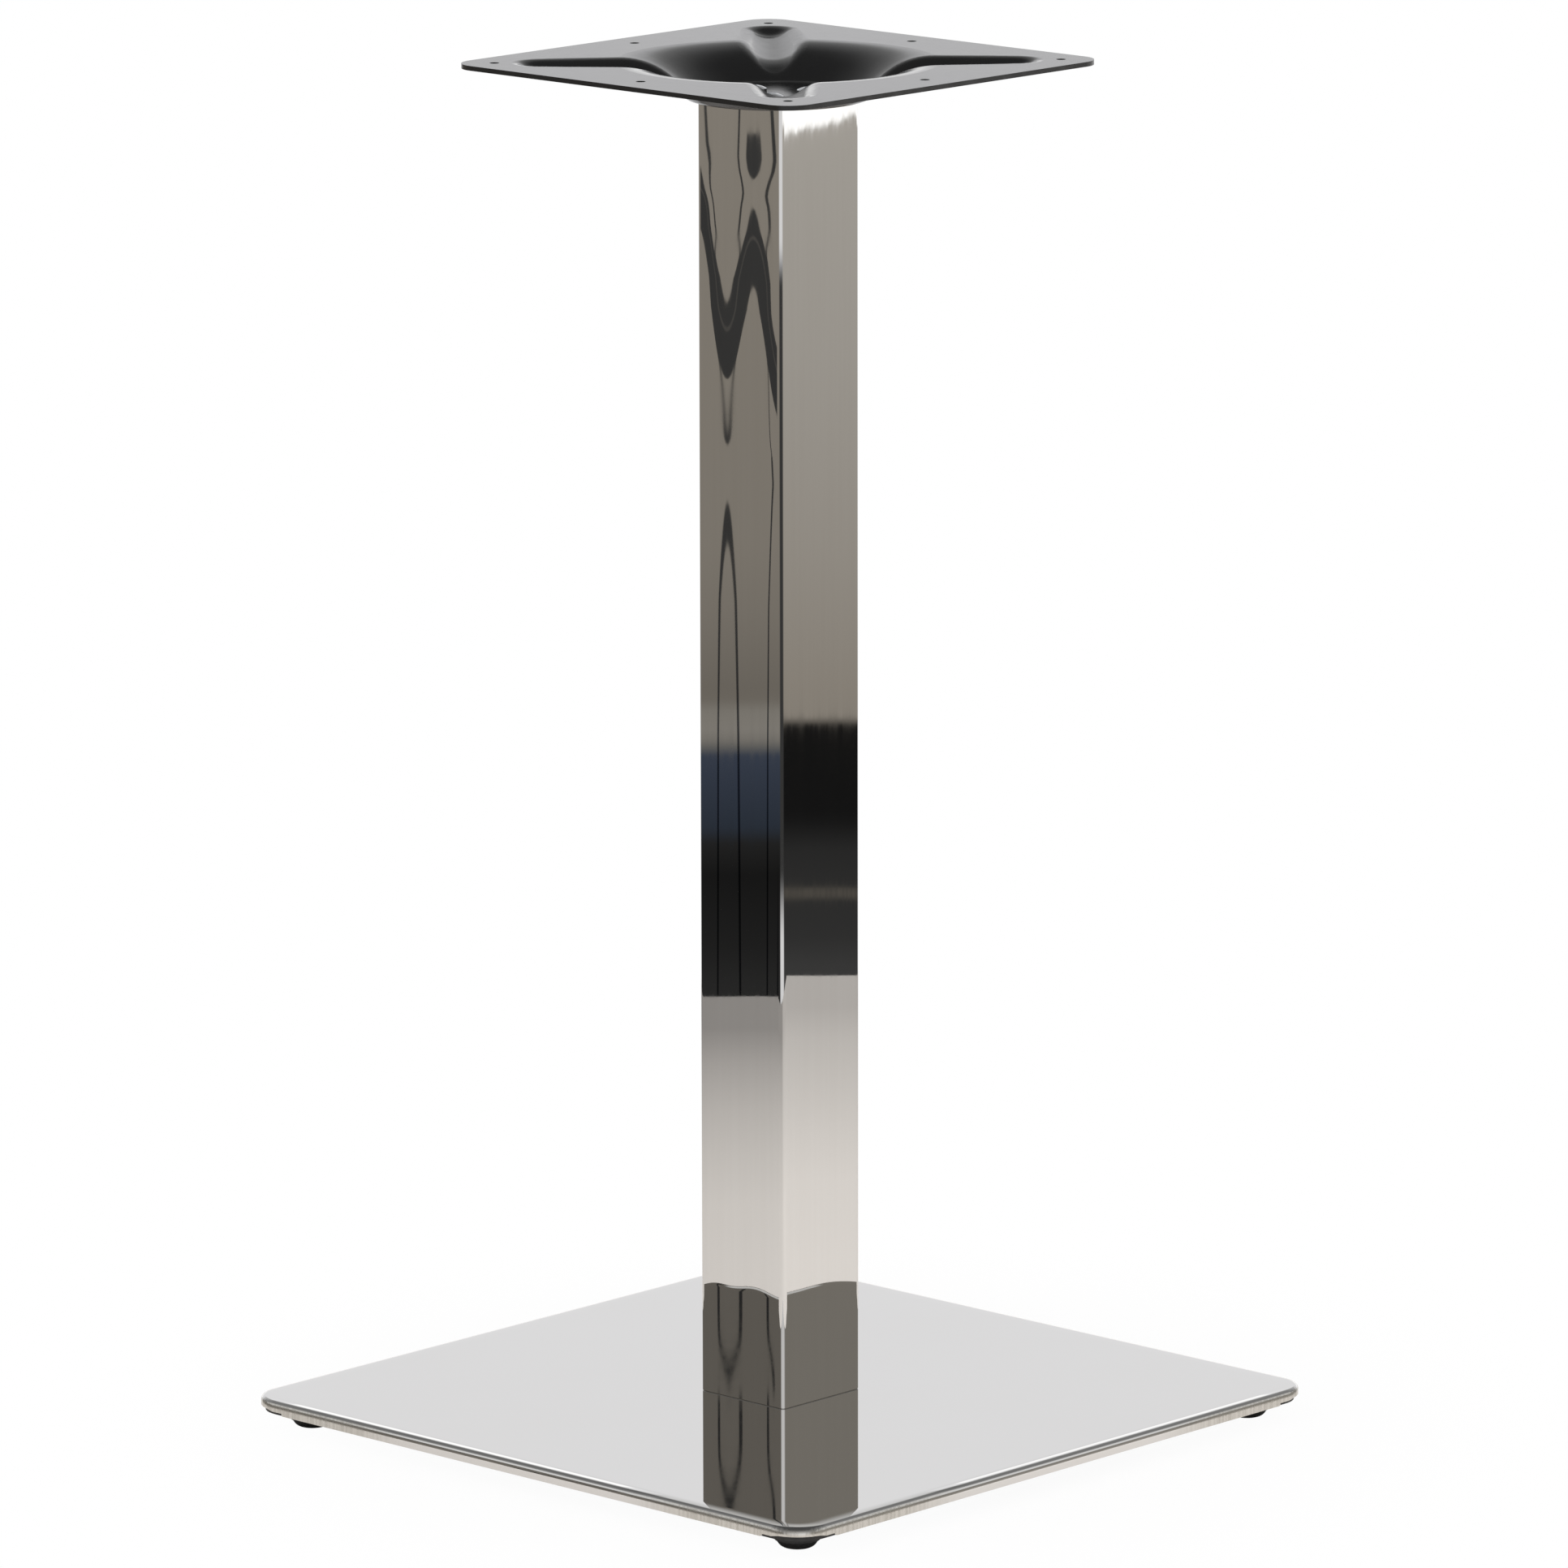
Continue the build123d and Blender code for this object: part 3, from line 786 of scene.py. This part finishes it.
matt_paint = plain_finish(
    "matt_black_paint", tones=(grey(0.011), grey(0.020)), roughness=(0.45, 0.62),
    grain=(300, 300, 300), bump=0.00003)
bright_zinc = plain_finish(
    "bright_zinc", tones=((0.80, 0.82, 0.85), (0.62, 0.63, 0.65)), roughness=(0.14, 0.28),
    grain=(420, 420, 420), bump=0.00001, Metallic=1.0)
bare_steel = plain_finish(
    "bare_steel", tones=((0.46, 0.45, 0.44), (0.34, 0.33, 0.32)), roughness=(0.32, 0.50),
    grain=(90, 1400, 400), bump=0.00001, Metallic=1.0)
moulded_plastic = plain_finish(
    "moulded_black_plastic", tones=(grey(0.009), grey(0.016)), roughness=(0.38, 0.52),
    grain=(700, 700, 700), bump=0.00002, IOR=1.5)
print("plain finishes:", [finish.name for finish in (matt_paint, bright_zinc, bare_steel, moulded_plastic)])

# %% [markdown]
# ## Threads on the foot studs
# Each foot turns on a short stud with a metric thread. The solid is a plain pin as wide as the crests.
# A thread could be a Screw modifier on a profile, but then its ends stay open. Here the radius at any
# spot is worked out from the thread's V, which has a flat at its crest and its root, and which fades
# out at both ends of the stud.

# %% Thread
THREAD_PITCH = 0.00125
THREAD_DEPTH = 0.00062
THREAD_RUNOUT = 0.0008
THREAD_FLAT = 0.125
END_TAPER = 0.0005


def thread_radius(crest, climb, share, fade):
    """The radius at a climb along the stud and a share of the turn, where the thread may be fading out."""
    v = abs((climb / THREAD_PITCH - share) % 1.0 - 0.5) * 2
    cut = THREAD_DEPTH * min(1.0, max(0.0, (1 + 2 * THREAD_FLAT) * v - THREAD_FLAT)) * fade
    return crest - cut - END_TAPER * (1 - fade)


print("thread of", 1000 * THREAD_PITCH, "mm pitch")

# %% [markdown]
# Rings of points climb the stud, each point at its own radius, and faces join each ring to the next.
# One flat face closes each end.

# %% Stud mesh
RING_POINTS = 40
RINGS_A_PITCH = 8


def threaded_stud(name, low, high):
    """A stud in the box from low to high, with a thread that fades out at both ends."""
    middle, crest = (low + high) / 2, (high.x - low.x) / 2
    rings = round((high.z - low.z) / THREAD_PITCH * RINGS_A_PITCH)
    shape = bmesh.new()
    rows = []
    for ring in range(rings + 1):
        z = low.z + (high.z - low.z) * ring / rings
        fade = min(1.0, (z - low.z) / THREAD_RUNOUT, (high.z - z) / THREAD_RUNOUT)
        row = []
        for step in range(RING_POINTS):
            share = step / RING_POINTS
            angle = 2 * math.pi * share
            radius = thread_radius(crest, z - low.z, share, fade)
            row.append(shape.verts.new((middle.x + radius * math.cos(angle),
                                        middle.y + radius * math.sin(angle), z)))
        rows.append(row)
    for lower, upper in zip(rows, rows[1:]):
        for step in range(RING_POINTS):
            after = (step + 1) % RING_POINTS
            shape.faces.new((lower[step], lower[after], upper[after], upper[step]))
    shape.faces.new(rows[-1])
    shape.faces.new(rows[0][::-1])
    mesh = bpy.data.meshes.new(name)
    shape.to_mesh(mesh)
    shape.free()
    return bpy.data.objects.new(name, mesh)


print("rings of", RING_POINTS, "points,", RINGS_A_PITCH, "to a pitch")

# %% [markdown]
# Each threaded stud stands in for the plain pin of its corner, and rides on the body of its foot, so
# it goes up and down with the pad when the foot is wound.

# %% Studs at the corners
CORNERS = ("front_left", "front_right", "back_left", "back_right")

for corner in CORNERS:
    stud = threaded_stud(f"threaded_stud_{corner}", *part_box(f"foot_stud_{corner}"))
    bpy.context.scene.collection.objects.link(stud)
    stud.data.materials.append(bright_zinc)
    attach(stud, f"foot_{corner}")
    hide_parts(f"foot_stud_{corner}")
    print(stud.name, len(stud.data.polygons), "faces")

# %% [markdown]
# ## Put the finishes on
# Each solid keeps its shape and gets its finish in place of the plain colour that came with it. A
# loop over one table is easier to read than a line for each of the solids.

# %% Dress the solids
DRESS = {
    "base_cover": tray_steel,
    "column_tube": column_steel,
    "top_spider": powder_coat,
    "ballast_plate": matt_paint,
    "base_screws": bright_zinc,
    "spider_screws": bright_zinc,
    "column_bottom_plate": bare_steel,
    "column_top_plate": bare_steel,
}
for corner in CORNERS:
    DRESS[f"foot_pad_{corner}"] = moulded_plastic
    DRESS[f"foot_stud_{corner}"] = bright_zinc

for name, finish in DRESS.items():
    solids[name].data.materials.clear()
    solids[name].data.materials.append(finish)
print("dressed", len(DRESS), "of", len(solids), "solids")
